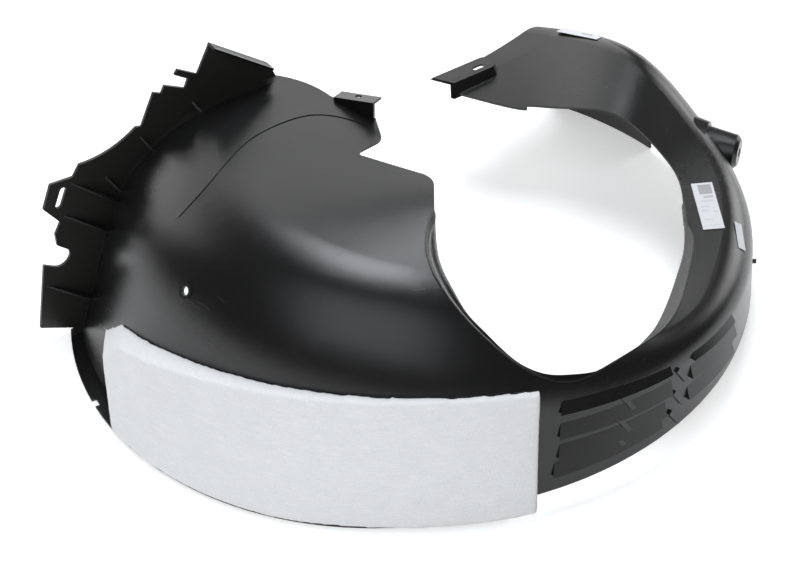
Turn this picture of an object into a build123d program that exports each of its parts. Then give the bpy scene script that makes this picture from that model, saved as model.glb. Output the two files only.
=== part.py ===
"""Front wheel arch liner: one moulded plastic shell with a felt pad and paper labels stuck on it.

The liner lies on its outer lip. While it is modelled the wheel axis is the Z axis, and at the end
everything is moved so that the origin is under the middle of the box. Sizes are in millimetres.
"""

import os
from math import atan2, cos, degrees, hypot, radians, sin, sqrt, tan

from build123d import *

# Arch wall
arch_radius = 350.0  # outer face of the wall at the lip, from the wheel axis
wall = 2.5  # moulded thickness
sink = 1.2  # how far an added form reaches into the wall that carries it
hub = (155.0, -95.0)  # all section planes pass through this vertical line
inner_reach = 80.0  # distance from the hub at which the untrimmed inner wall ends

# Section planes: angle about the hub, wall draft, shoulder height and radius, inner wall's height.
# The two rows at each end lie past the liner and only steer the form.
stations = (
    (160, 6, 110, 40, 103),
    (136, 6, 114, 40, 107),
    (112, 6, 117, 40, 110),
    (95, 6, 123, 40, 113),
    (86, 6, 140, 42, 114),
    (78, 6, 153, 42, 115),
    (70, 6, 147, 42, 114),
    (62, 5, 128, 40, 112),
    (52, 4, 114, 38, 109),
    (30, 3, 112, 36, 107),
    (0, 3, 112, 32, 105),
    (-30, 4, 112, 25, 109),
    (-60, 7, 120, 32, 119),
    (-88, 11, 144, 60, 146),
    (-112, 14, 186, 100, 184),
    (-135, 16, 212, 125, 212),
    (-160, 17, 224, 130, 224),
    (-185, 17.5, 222, 130, 222),
    (-210, 17.5, 217, 130, 217),
    (-235, 17.5, 212, 130, 212),
    (-260, 17.5, 207, 130, 207),
)
first_angle = 124.0
last_angle = -224.0
section_step = 10.0

# Front end: a flange stands in a vertical plane across the arch
front_angle = 35.0  # direction of that plane in plan
front_distance = 141.0  # from the wheel axis
flange = 3.0  # thickness
gusset = 2.2  # thickness of the ribs between flange and shell
gusset_reach = 16.0  # how far a rib runs along the shell
loop_slot = (24.0, 7.0)  # slot in the flange's loop
fold_width = 11.0  # lip folded over at the bracket's upper edge

# Rear end: the arm is cut across and carries a raised fixing platform
rear_angle = 42.0
rear_distance = 127.0  # from the wheel axis
platform_tip = (20.0, 191.0)  # the arm's far corner
platform_angle = 35.0
platform_length = 70.0
platform_width = 21.0
platform_height = 126.0  # of its top over the lip
platform_slant = 13.0  # how far its near corner is set back from the tip
platform_corner = 8.0
platform_depth = 15.0  # of its riser
platform_flare = 26.0  # of its riser, from the vertical
platform_slot = (14.0, 5.5)

# Opening for the strut and the drive shaft, with a fixing tab at the dome's far edge
tab_rise = (4.0, 21.0)  # of the tab over the dome, left and right
tab_depth = 9.0
tab_slot = (8.0, 4.0)
tray_drop = 5.0  # of the sunk strip along the near edge of the opening
crease_width = 2.4  # line moulded over the dome
crease_depth = 0.8

# Lip
relief_height = (17.0, 30.0)  # of the lip to the right of the pad, left and right
relief_end = 230.0  # how far behind the wheel axis the lip comes down again
foot_radius = arch_radius - 38.0  # crescent flange on the near left, about its own centre
foot_centre = (-42.0, -42.0)
foot_notch = 10.0  # square, in the crescent's edge
foot_notch_angle = -153.0

# Ribs on the near right wall: angle about the hub and height at the two ends of each one's lower edge
rib_rows = (
    (-95, 101, -57, 91),
    (-95, 75, -57, 67),
    (-95, 52, -60, 46),
    (-96, 34, -62, 36),
    (-46, 88, -18, 79),
    (-47, 67, -16, 57),
    (-49, 45, -18, 39),
)
rib_height = 20.0
rib_proud = 4.0
rib_sections = 4
rib_posts = ((-75, 86), (-76, 61), (-77, 42), (-52, 80), (-54, 56), (-56, 36))  # angle and height
post_size = (5.0, 24.0)
post_lean = 32.0
post_proud = 2.5

# Boss on the right shoulder, drain hole in the dome and clip peg on the right wall
boss_bearing = 17.8  # of its tip, about the wheel axis
boss_reach = 10.2  # of its tip past the arch wall
boss_height = 88.0
boss_angle = -18.0
boss_bore = 10.0
boss_tip_radius = 18.5
boss_chamfer = 4.0
boss_neck = (36.0, 22.5)  # where the collar starts: depth from the tip and radius
boss_collar = 4.0  # step out to the collar
boss_base = (66.0, 32.0)
boss_clear = 25.0  # depth under the outer face to which the boss is cut away inside
drain_angle = -164.0  # about the hub
drain_height = 167.0
drain_hole = 9.0
drain_rim = 3.5
peg_angle = 18.0  # about the hub
peg_height = 60.0
peg_diameter = 5.0
peg_length = 4.0

# Felt pad and labels
pad_thickness = 9.0
pad_gap = 0.3
pad_spread = 5.0  # how far the pad's foot stands out past the crescent flange
label_thickness = 0.3

beyond = 480.0  # past everything


def in_plan(angle, length, start=(0, 0)):
    """Point at a distance and direction from a start point, in plan."""
    return (start[0] + length * cos(radians(angle)), start[1] + length * sin(radians(angle)))


def plan_reach(angle, radius, centre=(0, 0)):
    """Distance in plan from the hub to a circle about the given centre."""
    x, y = hub[0] - centre[0], hub[1] - centre[1]
    along = x * cos(radians(angle)) + y * sin(radians(angle))
    return -along + sqrt(along**2 - x**2 - y**2 + radius**2)


def station(angle):
    """Section values at any angle, on a smooth curve through the rows of the table."""
    rows = zip(stations, stations[1:], stations[2:], stations[3:])
    before, start, end, after = next(four for four in rows if four[1][0] >= angle >= four[2][0])
    span = start[0] - end[0]
    share = (start[0] - angle) / span
    values = [angle]
    for a, b, c, d in zip(before[1:], start[1:], end[1:], after[1:]):
        leaving = (c - a) * span / (before[0] - end[0])
        arriving = (d - b) * span / (start[0] - after[0])
        bend = leaving * (1 - share) ** 2 * share - arriving * share**2 * (1 - share)
        values.append(b + (c - b) * share**2 * (3 - 2 * share) + bend)
    return values


def section_plane(angle):
    """Vertical plane through the hub: its X runs outwards and its Y is up."""
    outwards = (*in_plan(angle, 1), 0)
    across = (*in_plan(angle - 90, 1), 0)
    return Plane(origin=(*hub, 0), x_dir=outwards, z_dir=across)


def section_corners(angle, depth):
    """Lip, shoulder corner, inner end and shoulder radius at a depth under the outer face."""
    _, draft, shoulder, radius, inner = station(angle)
    reach = plan_reach(angle, arch_radius)
    lip = Vector(reach, 0)
    corner = Vector(reach - shoulder * tan(radians(draft)), shoulder)
    end = Vector(inner_reach, inner)
    up = (corner - lip).normalized()
    inwards = (end - corner).normalized()
    normal_up = Vector(-up.Y, up.X)
    normal_in = Vector(-inwards.Y, inwards.X)
    middle = (normal_up + normal_in) * (depth / (1 + normal_up.dot(normal_in)))
    lip -= (depth / cos(radians(draft)), 0)
    return lip, corner + middle, end + normal_in * depth, radius - depth


def skin(near, far, first=first_angle, last=last_angle, foot_reach=None):
    """Loft of thin sections between two depths under the shell's outer face."""
    spans = round((first - last) / section_step)
    with BuildPart() as layer:
        for number in range(spans + 1):
            angle = first - (first - last) * number / spans
            lip, corner, end, radius = section_corners(angle, near)
            lip_in, corner_in, end_in, radius_in = section_corners(angle, far)
            if foot_reach:
                lip = Vector(max(lip.X, foot_reach(angle)), lip.Y)
            with BuildSketch(section_plane(angle)):
                with BuildLine():
                    FilletPolyline(lip, corner, end, radius=radius)
                    Line(end, end_in)
                    FilletPolyline(end_in, corner_in, lip_in, radius=radius_in)
                    Line(lip_in, lip)
                make_face()
        loft()
    return layer.part


def section_bend(angle):
    """Outer face in a section plane: lip, both ends of the shoulder's arc, its centre, and inner end."""
    lip, corner, end, radius = section_corners(angle, 0)
    down = (lip - corner).normalized()
    inwards = (end - corner).normalized()
    half = radians(down.get_angle(inwards)) / 2
    centre = corner + (down + inwards).normalized() * (radius / sin(half))
    return lip, corner + down * (radius / tan(half)), corner + inwards * (radius / tan(half)), centre, end


def wall_reach(angle, height):
    """Distance from the hub to the outer face at a height on the wall or its shoulder."""
    lip, low, _, centre, _ = section_bend(angle)
    if height > low.Y:
        return centre.X + sqrt((low - centre).length ** 2 - (height - centre.Y) ** 2)
    return lip.X + (low.X - lip.X) * height / low.Y


def wall_point(angle, height):
    """Point of the outer face at an angle about the hub and a height."""
    return Vector(*in_plan(angle, wall_reach(angle, height), hub), height)


def wall_plane(angle, height):
    """Plane on the outer face, with its Z pointing out of the wall."""
    origin = wall_point(angle, height)
    along = wall_point(angle + 1, height) - origin
    up = wall_point(angle, height + 1) - origin
    return Plane(origin=origin, x_dir=along, z_dir=along.cross(up))


def top_point(x, y):
    """Point of the outer face over a place in plan, from the shoulder inwards."""
    reach = hypot(x - hub[0], y - hub[1])
    angle = degrees(atan2(y - hub[1], x - hub[0]))
    _, _, high, centre, end = section_bend(angle if angle < first_angle else angle - 360)
    if reach > high.X:
        return Vector(x, y, centre.Y + sqrt((high - centre).length ** 2 - (reach - centre.X) ** 2))
    return Vector(x, y, high.Y + (end.Y - high.Y) * (high.X - reach) / (high.X - end.X))


def top_plane(x, y, direction):
    """Plane that touches the outer face over a place in plan, with its X in the given direction."""
    origin = top_point(x, y)
    along = top_point(*in_plan(direction, 1, (x, y))) - origin
    across = top_point(*in_plan(direction + 90, 1, (x, y))) - origin
    return Plane(origin=origin, x_dir=along, z_dir=along.cross(across))


def patch(layer, area):
    """The part of a layer of the shell that lies over an area in plan."""
    with BuildPart() as piece:
        add(layer)
        extrude(area, amount=beyond, mode=Mode.INTERSECT)
    return piece.part


# Plan layout of the two ends
front_foot = in_plan(front_angle - 90, -front_distance)
front_corner = in_plan(front_angle, -sqrt(arch_radius**2 - front_distance**2), front_foot)
front_along = Vector(*in_plan(front_angle, 1), 0)
front_out = Vector(*in_plan(front_angle - 90, 1), 0)
front_plane = Plane(origin=(*front_corner, 0), x_dir=front_along, z_dir=front_out)


def rear_point(along):
    """Plan point measured along the rear arm's end."""
    return in_plan(rear_angle, along, in_plan(rear_angle + 90, rear_distance))


def front_point(along, out=0):
    """Plan point measured along the front flange from the arch wall, and out of its face."""
    return in_plan(front_angle, along, in_plan(front_angle - 90, out, front_corner))


# Trim outline in plan: front end, dome edge with its tab, strut notch, opening and rear end
dome_corner = 246.0  # along the front flange
dome_edge = ((-107, 59), (-85, 39))
tab_ends = ((-79, 34), (-39, 1))
notch_corners = ((-32, -36), (-58, -60), (18, -99))
notch_radii = (14, 5, 22)
platform_foot = platform_depth * tan(radians(platform_flare))  # how far the riser's foot stands out
arm_corner = in_plan(
    platform_angle - 90,
    platform_width + platform_foot,
    in_plan(platform_angle, platform_slant + platform_foot / 2, platform_tip),
)
rim_start = ((18, -150), (22, -205))
rim_rows = (
    (-80.6, 97),
    (-77, 74),
    (-71, 48),
    (-63.3, 37),
    (-52, 43),
    (-39, 51),
    (-18.6, 71),
    (0, 76),
    (11, 77),
    (21.3, 93.5),
    (34, 121),
    (52.3, 154),
)  # bearing about the wheel axis and distance inside the arch wall
rim = (*rim_start, *(in_plan(bearing, arch_radius - inset) for bearing, inset in rim_rows), arm_corner)
tray_edge = (
    rim[0],
    (9, -208),
    (31, -256),
    (57, -277),
    (97, -292),
    (144, -287),
    (197, -250),
    (244, -194),
    (276, -92),
    (281, -45),
    (271, -18),
)
tray_inside = ((250, -140), (170, -240), (60, -210), (40, -150))  # in the opening

with BuildSketch() as opening:
    with BuildLine():
        front_edge = Line(front_point(-beyond / 3, -flange / 2), front_point(dome_corner, -flange / 2))
        Spline(front_edge @ 1, *dome_edge)
        Line(dome_edge[-1], tab_ends[-1])
        notch = FilletPolyline(tab_ends[-1], *notch_corners, rim[0], radius=notch_radii)
        Spline(*rim, tangents=[notch % 1, Vector(*platform_tip) - Vector(*rim[-1])])
        Polyline(rim[-1], platform_tip, rear_point(beyond), (-beyond, beyond), front_edge @ 0)
    make_face()
with BuildSketch() as tray_area:
    with BuildLine():
        Spline(*tray_edge)
        Polyline(tray_edge[-1], *tray_inside, tray_edge[0])
    make_face()
with BuildSketch() as tray_riser_area:
    with BuildLine():
        Spline(*tray_edge)
    trace(line_width=2 * wall)

# Line moulded over the dome, in plan
crease_line = ((-228, -134), (-194, -97), (-162, -39), (-124, -5), (-104, 4), (-74, 1), (-47, -15))
with BuildSketch() as crease_area:
    with BuildLine():
        Spline(*crease_line)
    trace(line_width=crease_width)


# Front flange with its loop, hook and bracket, in the flange's own plane
flange_inside = ((250, 210), (200, 212), (141, 206), (103, 190), (65, 154), (46, 114), (8, 0))
bracket_top = ((172, 288), (239, 235))
loop_centre = (-7, 175)
loop_lean = 68.0
gusset_lines = (
    ((-32, 72), (18, 36)),
    ((-5, 151), (44, 112)),
    ((5, 188), (62, 139)),
    ((44, 178), (62, 148)),
    ((86, 210), (98, 188)),
    ((148, 226), (157, 209)),
)

with BuildPart() as gussets:
    for outer, inner in gusset_lines:
        start = front_plane.from_local_coords((*outer, 0))
        line = front_plane.from_local_coords((*inner, 0)) - start
        with BuildSketch(Plane(origin=start, x_dir=line, z_dir=line.cross(front_out))):
            with BuildLine():
                Polyline((0, -sink), (line.length, -sink), (line.length, gusset_reach), (0, 0), close=True)
            make_face()
        extrude(amount=gusset / 2, both=True)
    add(skin(sink, gusset_reach * 1.5, -148, -220), mode=Mode.SUBTRACT)

with BuildPart() as end_flange:
    with BuildSketch(front_plane):
        with BuildLine():
            Spline(*flange_inside)
            Polyline(flange_inside[-1], (0, 0), (-44, 22), (-33, 100), (-20, 92))
            ThreePointArc((-20, 92), (-6, 94), (-4, 107))
            Polyline((-4, 107), (-16, 118), (-17, 132), (-10, 145))
            Polyline((-10, 145), (-27, 169), (-17, 196), (9, 194), (17, 206))
            ThreePointArc((17, 206), (45, 207), (83, 223))
            Polyline((83, 223), (89, 221), (105, 256), (114, 251), (118, 259), (141, 246), (145, 256))
            Polyline((145, 256), (130, 267), (134, 272), (156, 257), *bracket_top, flange_inside[0])
        make_face()
        with Locations(Location(loop_centre, loop_lean)):
            SlotOverall(*loop_slot, mode=Mode.SUBTRACT)
    extrude(amount=-flange)
    fold_start = front_plane.from_local_coords((*bracket_top[0], -flange))
    fold_line = front_plane.from_local_coords((*bracket_top[1], -flange)) - fold_start
    with BuildSketch(Plane(origin=fold_start, x_dir=fold_line, z_dir=fold_line.cross(front_out))):
        Rectangle(fold_line.length, flange + fold_width, align=(Align.MIN, Align.MIN))
    extrude(amount=wall)
    add(gussets.part)

# Raised platform at the end of the rear arm: a plate with a flared riser, open at its tip and behind
platform_plane = Plane(origin=(*platform_tip, platform_height), x_dir=(*in_plan(platform_angle, 1), 0))


def flared_block(area, top, depth):
    """Block under a plane that widens towards its foot."""
    with BuildPart() as block:
        with BuildSketch(top):
            add(area)
        with BuildSketch(top.offset(-depth)):
            add(area)
            offset(amount=depth * tan(radians(platform_flare)), kind=Kind.INTERSECTION, mode=Mode.REPLACE)
        loft()
    return block.part


with BuildSketch() as platform_area:
    with BuildLine():
        Polyline(
            (0, 0),
            (platform_length, 0),
            (platform_length, -platform_width),
            (platform_slant, -platform_width),
            close=True,
        )
    make_face()
    fillet(platform_area.vertices().group_by(Axis.X)[-1], platform_corner)
with BuildSketch() as platform_void_area:
    with BuildLine():
        Polyline(
            (-platform_length, platform_length),
            (platform_length - wall, platform_length),
            (platform_length - wall, wall - platform_width),
            (-platform_length, wall - platform_width),
            close=True,
        )
    make_face()
    fillet(platform_void_area.vertices().group_by(Axis.X)[-1].sort_by(Axis.Y)[0], platform_corner - wall)
platform_void = flared_block(platform_void_area.sketch, platform_plane.offset(-wall), 2 * platform_depth)
with BuildPart() as platform:
    add(flared_block(platform_area.sketch, platform_plane, platform_depth))
    add(platform_void, mode=Mode.SUBTRACT)
    with BuildSketch(platform_plane):
        with Locations((platform_length * 0.73, -platform_width * 0.6)):
            SlotOverall(*platform_slot)
    extrude(amount=-platform_depth, mode=Mode.SUBTRACT)

# Fixing tab at the dome's far edge: an upright wall along the edge and a plate back from its top
tab_left, tab_right = (top_point(*end) for end in tab_ends)
tab_line = Vector(tab_right.X - tab_left.X, tab_right.Y - tab_left.Y)
tab_plane = Plane(origin=(tab_left.X, tab_left.Y, 0), x_dir=tab_line, z_dir=(tab_line.Y, -tab_line.X, 0))
tab_top = ((0, tab_left.Z + tab_rise[0]), (tab_line.length, tab_right.Z + tab_rise[1]))
with BuildPart() as tab:
    with BuildSketch(tab_plane.offset(sink)):
        with BuildLine():
            Polyline(*tab_top, (tab_line.length, tab_right.Z - sink), (0, tab_left.Z - sink), close=True)
        make_face()
    extrude(amount=wall)
    with BuildSketch(tab_plane.offset(sink + wall)):
        with BuildLine():
            under = [(along, height - wall) for along, height in tab_top]
            Polyline(*tab_top, *reversed(under), close=True)
        make_face()
    extrude(amount=-sink - wall - tab_depth)
    with BuildSketch(Plane(origin=tab_plane.origin, x_dir=tab_line)):
        with Locations((tab_line.length / 2, tab_depth / 2)):
            SlotOverall(*tab_slot)
    extrude(amount=beyond, mode=Mode.SUBTRACT)

# Boss with a stepped collar and a bored end, turned about its own axis
boss_tip = Vector(*in_plan(boss_bearing, arch_radius + boss_reach), boss_height)
boss_inwards = Vector(*in_plan(boss_angle, -1), 0)
boss_axis = Axis(boss_tip, boss_inwards)
boss_section = Plane(origin=boss_tip, x_dir=boss_inwards, z_dir=boss_inwards.cross(Vector(0, 0, 1)))
with BuildPart() as boss:
    with BuildSketch(boss_section):
        with BuildLine():
            Polyline(
                (0, 0),
                (0, boss_tip_radius - boss_chamfer),
                (boss_chamfer, boss_tip_radius),
                boss_neck,
                (boss_neck[0], boss_neck[1] + boss_collar),
                boss_base,
                (boss_base[0], 0),
                close=True,
            )
        make_face()
    revolve(axis=boss_axis)
    add(skin(sink, boss_clear, 100, 4), mode=Mode.SUBTRACT)
with BuildPart() as boss_hollow:
    with BuildSketch(boss_section):
        with BuildLine():
            Polyline(
                (0, 0),
                (0, boss_bore / 2),
                (wall, boss_bore / 2),
                (wall, boss_tip_radius - boss_chamfer - wall),
                (boss_chamfer + wall, boss_tip_radius - wall),
                (boss_neck[0], boss_neck[1] - wall),
                (boss_base[0], boss_base[1] - boss_collar - wall),
                (boss_base[0], 0),
                close=True,
            )
        make_face()
    revolve(axis=boss_axis)
with BuildPart() as hollow_boss:
    add(boss.solids().sort_by(boss_axis)[0])
    add(boss_hollow.part, mode=Mode.SUBTRACT)

# Ribs on the near right wall, proud at their lower edges, and the posts between them


def rib(start, start_height, finish, finish_height):
    """Wedge that runs along the wall."""
    with BuildPart() as wedge:
        for number in range(rib_sections):
            share = number / (rib_sections - 1)
            angle = start + (finish - start) * share
            low = start_height + (finish_height - start_height) * share
            root = wall_reach(angle, low)
            with BuildSketch(section_plane(angle)):
                with BuildLine():
                    top = (wall_reach(angle, low + rib_height) - sink, low + rib_height)
                    Polyline((root - sink, low), (root + rib_proud, low), top, close=True)
                make_face()
        loft()
    return wedge.part


with BuildPart() as posts:
    for angle, height in rib_posts:
        with BuildSketch(wall_plane(angle, height).offset(-sink)):
            Rectangle(*post_size, rotation=post_lean)
        extrude(amount=post_proud + sink)

# Crescent flange that the near left wall stands on
with BuildPart() as foot:
    with BuildSketch():
        with Locations(foot_centre):
            Circle(foot_radius)
        Circle(arch_radius - sink, mode=Mode.SUBTRACT)
        add(opening.sketch, mode=Mode.SUBTRACT)
        with Locations(Location(in_plan(foot_notch_angle, foot_radius, foot_centre), foot_notch_angle)):
            Rectangle(foot_notch, foot_notch, mode=Mode.SUBTRACT)
    extrude(amount=wall)

# Lip cut back to the right of the pad
with BuildPart() as relief:
    with BuildSketch(Plane.XZ.offset(beyond)):
        with BuildLine():
            Polyline((80, -sink), (105, relief_height[0]), (beyond, relief_height[1]), (beyond, -sink))
            Line((beyond, -sink), (80, -sink))
        make_face()
    extrude(amount=-(beyond + relief_end))

# Drain hole with a raised rim, and a clip peg
drain_plane = wall_plane(drain_angle, drain_height)
with BuildPart() as drain:
    with BuildSketch(drain_plane.offset(-sink)):
        Circle(drain_hole / 2 + drain_rim)
    extrude(amount=sink + wall / 2)
with BuildPart() as drain_cut:
    with BuildSketch(drain_plane):
        Circle(drain_hole / 2)
    extrude(amount=4 * wall, both=True)
with BuildPart() as peg:
    with BuildSketch(wall_plane(peg_angle, peg_height).offset(-sink)):
        Circle(peg_diameter / 2)
    extrude(amount=peg_length + sink)

# Sunk strip along the opening: the shell is cut back to a riser. Its floor does not come out in the solid
tray_cut = patch(skin(-wall, 2 * wall), tray_area.sketch)
tray_floor = patch(skin(tray_drop, tray_drop + wall), tray_area.sketch)
tray_riser = patch(skin(sink / 2, tray_drop + wall), tray_riser_area.sketch)
crease_cut = patch(skin(-wall, crease_depth), crease_area.sketch)

# The moulded shell
with BuildPart() as liner_shell:
    add(skin(0, wall))
    add([tray_cut, crease_cut], mode=Mode.SUBTRACT)
    add([tray_floor, tray_riser])
    extrude(opening.sketch, amount=beyond, mode=Mode.SUBTRACT)
    add([platform_void, boss_hollow.part, relief.part], mode=Mode.SUBTRACT)
    add([end_flange.part, platform.part, tab.part, hollow_boss.part, foot.part, drain.part, peg.part])
    add([posts.part, *(rib(*row) for row in rib_rows)])
    add(drain_cut.part, mode=Mode.SUBTRACT)

# Felt pad over the near left of the wall, down to the crescent flange
pad_right = 116.0
pad_left = ((-299, wall + pad_gap), (-309, 54), (-289, 82))
pad_top = ((-289, 82), (-247, 101), (-205, 114), (-108, 131), (-15, 137), (50, 136), (pad_right, 130))


def pad_foot(angle):
    """Distance from the hub to the pad's foot."""
    return plan_reach(angle, foot_radius + pad_spread, foot_centre)


with BuildPart() as felt_pad:
    add(skin(-pad_gap - pad_thickness, -pad_gap, -64, -208, pad_foot))
    with BuildSketch(Plane.XZ):
        with BuildLine():
            Polyline(pad_top[-1], (pad_right, wall + pad_gap), *pad_left)
            Spline(*pad_top)
        make_face()
    extrude(amount=beyond, mode=Mode.INTERSECT)

# Paper labels: bearing about the wheel axis, distance inside the arch wall, direction, length, width and gap
label_rows = {
    "label_large": (-1.1, 51.4, -84.5, 73, 22, 0.3),
    "label_small": (-8.2, 18.6, -88, 36, 9, 0.1),
    "label_top": (55, 36, -35, 52, 13, 0.4),
}
labels = []
for name, (bearing, inset, direction, length, width, gap) in label_rows.items():
    with BuildPart() as paper:
        with BuildSketch(top_plane(*in_plan(bearing, arch_radius - inset), direction).offset(gap)):
            Rectangle(length, width)
        extrude(amount=label_thickness)
    paper.part.label = name
    labels.append(paper.part)

# Move the origin under the middle of the box and write each piece
liner_shell.part.label = "liner_shell"
felt_pad.part.label = "felt_pad"
pieces = (liner_shell.part, felt_pad.part, *labels)
os.makedirs("parts", exist_ok=True)
box = Compound(children=[Compound(list(piece.solids())) for piece in pieces]).bounding_box()
shift = Vector(-box.center().X, -box.center().Y, -box.min.Z)
for piece in pieces:
    placed = piece.moved(Location(shift))
    placed.label = piece.label
    export_step(placed, f"parts/{piece.label}.step")
    print(piece.label, round(piece.volume), len(piece.solids()))
print("shift", shift)
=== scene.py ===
"""Wheel arch liner on a white studio floor: black moulded shell, white felt absorber, paper labels."""

import math

import bpy
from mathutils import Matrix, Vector


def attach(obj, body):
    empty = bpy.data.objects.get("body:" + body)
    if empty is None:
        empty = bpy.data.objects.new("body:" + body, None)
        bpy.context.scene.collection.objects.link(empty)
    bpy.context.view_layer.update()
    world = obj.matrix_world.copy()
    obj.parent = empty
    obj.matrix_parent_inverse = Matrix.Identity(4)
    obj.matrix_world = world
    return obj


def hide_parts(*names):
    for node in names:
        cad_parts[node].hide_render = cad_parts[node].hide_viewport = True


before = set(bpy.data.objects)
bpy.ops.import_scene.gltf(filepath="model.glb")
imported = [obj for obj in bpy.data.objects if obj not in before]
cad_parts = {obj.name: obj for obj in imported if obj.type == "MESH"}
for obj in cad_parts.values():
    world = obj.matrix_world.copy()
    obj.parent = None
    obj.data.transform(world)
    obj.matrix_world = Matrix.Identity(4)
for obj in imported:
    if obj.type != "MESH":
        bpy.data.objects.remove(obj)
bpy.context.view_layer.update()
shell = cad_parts["liner_shell"]

# Camera of the photograph, in metres: it looks along +Y and down
CAMERA_PLACE = (0.0008, -2.1877, 1.9202)
CAMERA_DOWN = 41.0  # degrees under the horizon
CAMERA_LENS = 126.0
CAMERA_REACH = 50.0
SENSOR_WIDTH = 36.0

# Front flange's plane: a point on its face, the direction out of it, and where its duller finish and its
# painted light end
FLANGE_POINT = (-0.3275, -0.0459)
FLANGE_OUT = (0.5736, -0.8192)
FLANGE_END = (0.004, 0.012)

# Plastic: its blacks (the lighter one serves for dust and for painted light on the flange), the grey of
# specks and rub marks, and where dust begins and is full on the right
CLEAN_BLACK = (0.0065, 0.0065, 0.0068)
DUSTY_AND_LIT_BLACK = (0.0190, 0.0180, 0.0165)
RUBBED_GREY = (0.050, 0.048, 0.045)
DUST_REACH = (0.06, 0.34)
RUB_STRETCH = (0.25, 1.0, 6.0)
RUB_TURN = (0.0, 0.0, 0.6)

# Felt: its whites, the lie of its threads, and the mesh's voxels, smoothing and lumps
FELT_SHADED = (0.78, 0.79, 0.80)
FELT_WHITE = (0.95, 0.955, 0.96)
THREAD_STRETCH = (1.0, 1.0, 7.0)
THREAD_TURN = (0.0, 0.25, 0.0)
FELT_MERGE = 0.00002
FELT_VOXEL = 0.0018
FELT_SMOOTHING = 24
FELT_LUMP_SIZE = 0.03
FELT_LUMP_HEIGHT = 0.0012

# Sunk strip along the near edge of the opening: its inner edge in plan, from the notch to the right arm
STRIP_RIM = (
    (0.0336, -0.1273),
    (0.0376, -0.1823),
    (0.0569, -0.2269),
    (0.0777, -0.2462),
    (0.1139, -0.2629),
    (0.1562, -0.2569),
    (0.2100, -0.2260),
    (0.2480, -0.1655),
    (0.2800, -0.0663),
    (0.2886, -0.0223),
    (0.2896, 0.0227),
)
STRIP_DROP = 0.005  # from the shell's face to the strip's floor
STRIP_LIP = 0.004  # turned down at the opening
STRIP_WALL = 0.0016
STRIP_SPANS = 96
STRIP_WIDEST = 0.03
RISER_FOOT = 0.0014  # inside the shell's edge
RISER_TOP = 0.0003
BEAD_HEIGHT = 0.0005
BEAD_REACH = 0.0016  # over the shell's edge

# How the strip finds the shell: step of the search, share of the rim for its direction, places for the slope
SEARCH_STEP = 0.0003
RUN_SHARE = 0.01
SLOPE_NEAR = 0.0005
SLOPE_FAR = 0.006

# Labels: paper and ink, then the grey fields as middle and direction in plan, along, across and strength
PAPER_COLOURS = ((0.58, 0.59, 0.61), (0.66, 0.67, 0.69))
INK_COLOURS = ((0.20, 0.20, 0.21), (0.30, 0.30, 0.31))
LABEL_FIELDS = (
    (
        (0.3141, 0.0170),
        -84.5,
        (
            (-0.0335, -0.0185, -0.0050, 0.0085, 0.75),
            (-0.0160, -0.0120, -0.0020, 0.0080, 0.45),
            (-0.0090, -0.0062, -0.0060, 0.0070, 0.25),
            (0.0000, 0.0022, -0.0070, 0.0010, 0.28),
            (0.0060, 0.0084, -0.0075, 0.0000, 0.32),
            (0.0085, 0.0110, 0.0050, 0.0080, 0.35),
            (0.0210, 0.0228, -0.0070, 0.0020, 0.25),
            (0.0300, 0.0312, -0.0085, 0.0085, 0.20),
        ),
    ),
    ((0.1955, 0.2804), -35.0, ((0.0020, 0.0160, -0.0010, 0.0035, 0.45),)),
)

# Studio: floor, world, and lamps as place, width, height, radiance and colour
FLOOR_SIZE = 14.0
FLOOR_COLOUR = (0.88, 0.88, 0.88, 1.0)
FLOOR_GLOW = (0.4, 0.4, 0.4)
WORLD_STRENGTH = 0.1
LAMP_AIM = (0.0, 0.0, 0.1)
WHITE_LIGHT = (1.0, 1.0, 1.0)
COOL_LIGHT = (0.93, 0.96, 1.0)
LAMPS = {
    "top_softbox": ((0.05, 0.75, 2.45), 1.05, 1.4, 9.0, COOL_LIGHT),
    "front_softbox": ((-0.6, -2.1, 2.5), 2.6, 2.6, 1.5, COOL_LIGHT),
    "back_panel": ((-1.5, 2.6, 1.3), 5.4, 2.4, 2.0, WHITE_LIGHT),
    "right_softbox": ((1.9, 1.6, 0.8), 1.2, 1.2, 4.5, WHITE_LIGHT),
    "front_fill": ((-0.6, -2.8, 1.2), 2.4, 2.4, 1.6, WHITE_LIGHT),
}
UNREFLECTED_LAMPS = ("front_fill",)


class Wire:
    """A value in a material: its operators add Math nodes."""

    def __init__(self, finish, socket):
        self.finish = finish
        self.socket = socket

    def math(self, operation, first, second):
        return self.finish.node("Math", {"operation": operation}, {0: first, 1: second})

    def __add__(self, other):
        return self.math("ADD", self, other)

    def __sub__(self, other):
        return self.math("SUBTRACT", self, other)

    def __rsub__(self, other):
        return self.math("SUBTRACT", other, self)

    def __mul__(self, other):
        return self.math("MULTIPLY", self, other)

    def __gt__(self, other):
        return self.math("GREATER_THAN", self, other)

    def __lt__(self, other):
        return self.math("LESS_THAN", self, other)

    __radd__ = __add__
    __rmul__ = __mul__

    def step(self, low, high):
        """0 under low and 1 over high, smooth between them."""
        ends = {"Value": self, "From Min": low, "From Max": high}
        return self.finish.node("MapRange", {"interpolation_type": "SMOOTHSTEP"}, ends)


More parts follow.
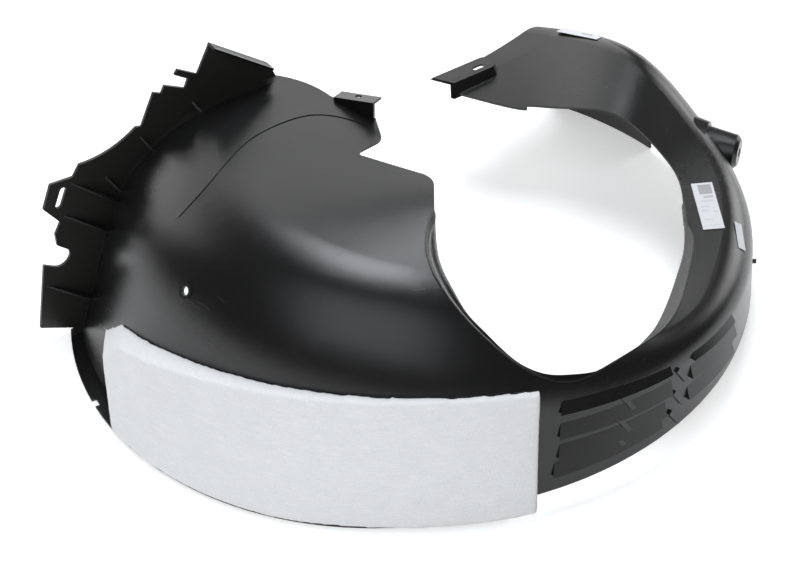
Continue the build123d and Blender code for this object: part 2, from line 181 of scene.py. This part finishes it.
class Finish:
    """A node material: values vary over the surface, constants sit on the shader's own sockets."""

    def __init__(self, name, **constants):
        self.material = bpy.data.materials.new(name)
        self.material.use_nodes = True
        self.tree = self.material.node_tree
        self.shader = self.tree.nodes["Principled BSDF"]
        for socket, value in constants.items():
            self.shader.inputs[socket.replace("_", " ")].default_value = value
        self.place = self.node("TexCoord", output="Object")

    def node(self, kind, settings=None, inputs=None, output=0):
        """Adds a node of that kind and gives one of its outputs."""
        made = self.tree.nodes.new("ShaderNode" + kind)
        for name, value in (settings or {}).items():
            setattr(made, name, value)
        for key, value in (inputs or {}).items():
            if isinstance(value, Wire):
                self.tree.links.new(value.socket, made.inputs[key])
            else:
                made.inputs[key].default_value = value
        return Wire(self, made.outputs[output])

    def set(self, socket, value):
        self.tree.links.new(value.socket, self.shader.inputs[socket])

    def plan(self):
        """The two level parts of the place on the piece."""
        made = self.node("SeparateXYZ", inputs={0: self.place}).socket.node
        return Wire(self, made.outputs["X"]), Wire(self, made.outputs["Y"])

    def noise(self, scale, detail=2.0, rough=0.5, vector=None):
        values = {"Vector": vector or self.place, "Scale": scale, "Detail": detail, "Roughness": rough}
        return self.node("TexNoise", {}, values)

    def stretched(self, scale, turn):
        """The place on the piece, turned and scaled along each axis."""
        return self.node("Mapping", {}, {"Vector": self.place, "Rotation": turn, "Scale": scale})

    def mix(self, share, first, second):
        """Colour between two colours."""
        made = self.node("Mix", {"data_type": "RGBA"}, {0: share}).socket.node
        for socket, colour in ((made.inputs[6], first), (made.inputs[7], second)):
            if isinstance(colour, Wire):
                self.tree.links.new(colour.socket, socket)
            else:
                socket.default_value = (*colour, 1.0)
        return Wire(self, made.outputs[2])

    def bump(self, height):
        """Relief of the surface, in metres."""
        self.set("Normal", self.node("Bump", {}, {"Height": height, "Distance": 1.0}))


def black_plastic():
    """Satin black moulding: fine grain, cloudy gloss, duller flange with painted light in its lighter black,
    dust film and fine rub marks.
    """
    finish = Finish("black_plastic", Specular_IOR_Level=0.5)
    x, y = finish.plan()
    out = (x - FLANGE_POINT[0]) * FLANGE_OUT[0] + (y - FLANGE_POINT[1]) * FLANGE_OUT[1]
    flange = 1.0 - out.step(*FLANGE_END)
    clouds = finish.noise(11.0, 3.0)
    grain = finish.noise(1100.0, 2.0)
    dust = finish.noise(55.0, 7.0, 0.72).step(0.52, 0.8)
    specks = finish.noise(420.0, 3.0, 0.6).step(0.70, 0.78)
    streaks = finish.noise(30.0, 5.0, 0.6, finish.stretched(RUB_STRETCH, RUB_TURN))
    rubs = streaks.step(0.60, 0.72) * finish.noise(7.0, 2.0).step(0.45, 0.65)
    # Mask for the lighter black: real dust towards the right and in patches, and painted light over the
    # whole flange face
    dust_and_flange_light = (x + y * 0.5).step(*DUST_REACH) * 0.20 + dust * 0.3 + flange * 0.7
    plain = finish.mix(dust_and_flange_light, CLEAN_BLACK, DUSTY_AND_LIT_BLACK)
    finish.set("Base Color", finish.mix(specks * 0.5 + rubs * 0.12, plain, RUBBED_GREY))
    finish.set("Roughness", 0.20 + clouds * 0.08 + dust_and_flange_light * 0.10 + rubs * 0.08 + flange * 0.12)
    finish.bump(grain * 0.00015 + clouds * 0.0001 + rubs * 0.00005)
    return finish.material


def white_felt():
    """Pressed white felt: matted fibres, soft mottling, long faint threads."""
    finish = Finish("white_felt", Specular_IOR_Level=0.15, Sheen_Weight=0.3, Sheen_Roughness=0.5)
    fibres = finish.noise(700.0, 6.0, 0.7).step(0.3, 0.7)
    mottle = finish.noise(45.0, 4.0, 0.6)
    threads = finish.noise(60.0, 5.0, 0.65, finish.stretched(THREAD_STRETCH, THREAD_TURN)).step(0.45, 0.7)
    shade = fibres * 0.4 + mottle * 0.4 + threads * 0.2
    finish.set("Base Color", finish.mix(shade, FELT_SHADED, FELT_WHITE))
    finish.set("Roughness", 0.92 + fibres * 0.06)
    finish.bump(fibres * 0.0002 + mottle * 0.0006 + threads * 0.0001)
    return finish.material


def label_paper():
    """White sticker paper with a fine tooth, and plain grey fields on the two wider labels."""
    finish = Finish("label_paper", Specular_IOR_Level=0.3)
    x, y = finish.plan()
    tooth = finish.noise(1200.0, 2.0)
    inked = 0.0
    for centre, direction, fields in LABEL_FIELDS:
        turn = math.radians(direction)
        along = (x - centre[0]) * math.cos(turn) + (y - centre[1]) * math.sin(turn)
        across = (y - centre[1]) * math.cos(turn) - (x - centre[0]) * math.sin(turn)
        for low, high, left, right, strength in fields:
            field = (along > low) * (along < high) * (across > left) * (across < right)
            inked = inked + field * strength
    paper = finish.mix(tooth, *PAPER_COLOURS)
    ink = finish.mix(tooth, *INK_COLOURS)
    finish.set("Base Color", finish.mix(inked, paper, ink))
    finish.set("Roughness", 0.55 + tooth * 0.1)
    finish.bump(tooth * 0.0001)
    return finish.material


def paint(piece, material):
    piece.data.materials.clear()
    piece.data.materials.append(material)


def choose(piece):
    """Makes one object the only selected and the active one."""
    bpy.ops.object.select_all(action="DESELECT")
    piece.select_set(True)
    bpy.context.view_layer.objects.active = piece


def apply_modifier(piece, kind, **settings):
    modifier = piece.modifiers.new(kind.title(), kind)
    for name, value in settings.items():
        setattr(modifier, name, value)
    choose(piece)
    bpy.ops.object.modifier_apply(modifier=modifier.name)


def felt_absorber(material):
    """Felt pad: the solid's form with softened edges and an uneven matted surface."""
    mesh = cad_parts["felt_pad"].data.copy()
    piece = bpy.data.objects.new("felt_absorber", mesh)
    bpy.context.scene.collection.objects.link(piece)
    choose(piece)
    bpy.ops.object.mode_set(mode="EDIT")
    bpy.ops.mesh.select_all(action="SELECT")
    bpy.ops.mesh.remove_doubles(threshold=FELT_MERGE)
    bpy.ops.object.mode_set(mode="OBJECT")
    apply_modifier(piece, "REMESH", mode="VOXEL", voxel_size=FELT_VOXEL)
    apply_modifier(piece, "SMOOTH", factor=0.5, iterations=FELT_SMOOTHING)
    lumps = bpy.data.textures.new("felt_lumps", "CLOUDS")
    lumps.noise_scale = FELT_LUMP_SIZE
    lump_settings = {"texture": lumps, "texture_coords": "LOCAL", "mid_level": 0.5}
    apply_modifier(piece, "DISPLACE", strength=FELT_LUMP_HEIGHT, **lump_settings)
    bpy.ops.object.shade_smooth()
    paint(piece, material)
    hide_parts("felt_pad")
    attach(piece, "root")


def smooth_point(points, share):
    """Point on a smooth curve through a list of points, by its share of the way along."""
    place = min(share, 0.99999) * (len(points) - 1)
    start = int(place)
    t = place - start
    before = points[max(start - 1, 0)]
    after = points[min(start + 2, len(points) - 1)]
    values = []
    for a, b, c, d in zip(before, points[start], points[start + 1], after):
        values.append(b + 0.5 * t * (c - a + t * (2 * a - 5 * b + 4 * c - d + t * (3 * (b - c) + d - a))))
    return Vector(values)


def shell_height(place):
    """Height of the shell's outer face over a place in plan, or None beside it."""
    found, spot, _, _ = shell.ray_cast((place.x, place.y, 1.0), (0, 0, -1))
    return spot.z if found else None


def strip_section(share):
    """Points across the sunk strip, from its lip at the opening to the bead on the shell's edge."""
    rim = smooth_point(STRIP_RIM, share)
    ahead = smooth_point(STRIP_RIM, min(share + RUN_SHARE, 1.0))
    run = ahead - smooth_point(STRIP_RIM, max(share - RUN_SHARE, 0.0))
    out = Vector((run.y, -run.x)).normalized()
    width = 0.0
    while shell_height(rim + out * width) is None and width < STRIP_WIDEST:
        width += SEARCH_STEP
    edge = rim + out * width
    height = shell_height(edge + out * SLOPE_NEAR)
    slope = (shell_height(edge + out * SLOPE_FAR) - height) / (SLOPE_FAR - SLOPE_NEAR)
    floor = height - STRIP_DROP
    return (
        (*rim, floor - slope * width - STRIP_LIP),
        (*rim, floor - slope * width),
        (*(edge - out * RISER_FOOT), floor),
        (*(edge - out * RISER_TOP), height + BEAD_HEIGHT),
        (*(edge + out * BEAD_REACH), height + slope * BEAD_REACH + BEAD_HEIGHT),
    )


def sunk_strip(material):
    """Sunk strip along the opening: a grid laid over its sections, then given thickness and rounded."""
    sections = [strip_section(number / STRIP_SPANS) for number in range(STRIP_SPANS + 1)]
    across = len(sections[0])
    bpy.ops.object.select_all(action="DESELECT")
    bpy.ops.mesh.primitive_grid_add(x_subdivisions=across - 1, y_subdivisions=STRIP_SPANS)
    piece = bpy.context.object
    piece.name = "sunk_strip"
    for vertex in piece.data.vertices:
        vertex.co = sections[vertex.index // across][vertex.index % across]
    bpy.ops.object.mode_set(mode="EDIT")
    bpy.ops.mesh.select_all(action="SELECT")
    bpy.ops.mesh.normals_make_consistent(inside=False)
    bpy.ops.object.mode_set(mode="OBJECT")
    apply_modifier(piece, "SOLIDIFY", thickness=STRIP_WALL, offset=0.0)
    apply_modifier(piece, "SUBSURF", levels=2, render_levels=2)
    bpy.ops.object.shade_smooth()
    paint(piece, material)
    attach(piece, "root")


def camera():
    bpy.ops.object.camera_add(location=CAMERA_PLACE, rotation=(math.radians(90 - CAMERA_DOWN), 0, 0))
    eye = bpy.context.object
    eye.data.lens = CAMERA_LENS
    eye.data.sensor_width = SENSOR_WIDTH
    eye.data.clip_end = CAMERA_REACH
    bpy.context.scene.camera = eye


def softbox(name, place, width, height, radiance, colour):
    """Area lamp of a given brightness, turned to the object."""
    bpy.ops.object.light_add(type="AREA", location=place)
    lamp = bpy.context.object
    lamp.name = name
    lamp.data.shape = "RECTANGLE"
    lamp.data.size = width
    lamp.data.size_y = height
    lamp.data.energy = radiance * math.pi * width * height
    lamp.data.color = colour
    away = [a - b for a, b in zip(place, LAMP_AIM)]
    flat = math.hypot(away[0], away[1])
    lamp.rotation_euler = (math.atan2(flat, away[2]), 0, math.atan2(away[0], -away[1]))
    lamp.visible_glossy = name not in UNREFLECTED_LAMPS


def studio():
    """White floor, dim world and large soft lamps around the object."""
    bpy.ops.mesh.primitive_grid_add(x_subdivisions=2, y_subdivisions=2, size=FLOOR_SIZE)
    floor = bpy.context.object
    floor.name = "studio_floor"
    finish = Finish("studio_floor", Roughness=0.9, Base_Color=FLOOR_COLOUR, Emission_Strength=1.0)
    kinds = ("Camera", "Glossy", "Transmission")
    rays = [finish.node("LightPath", output=f"Is {kind} Ray") for kind in kinds]
    seen = rays[0] + rays[1] + rays[2]
    finish.set("Emission Color", finish.mix(seen, (0.0, 0.0, 0.0), FLOOR_GLOW))
    paint(floor, finish.material)
    world = bpy.data.worlds.new("studio")
    bpy.context.scene.world = world
    world.use_nodes = True
    background = world.node_tree.nodes["Background"]
    background.inputs["Color"].default_value = (1.0, 1.0, 1.0, 1.0)
    background.inputs["Strength"].default_value = WORLD_STRENGTH
    for name, settings in LAMPS.items():
        softbox(name, *settings)
    bpy.context.scene.view_settings.view_transform = "Standard"


plastic = black_plastic()
paper = label_paper()
paint(shell, plastic)
for label in ("label_large", "label_small", "label_top"):
    paint(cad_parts[label], paper)
felt_absorber(white_felt())
sunk_strip(plastic)
camera()
studio()
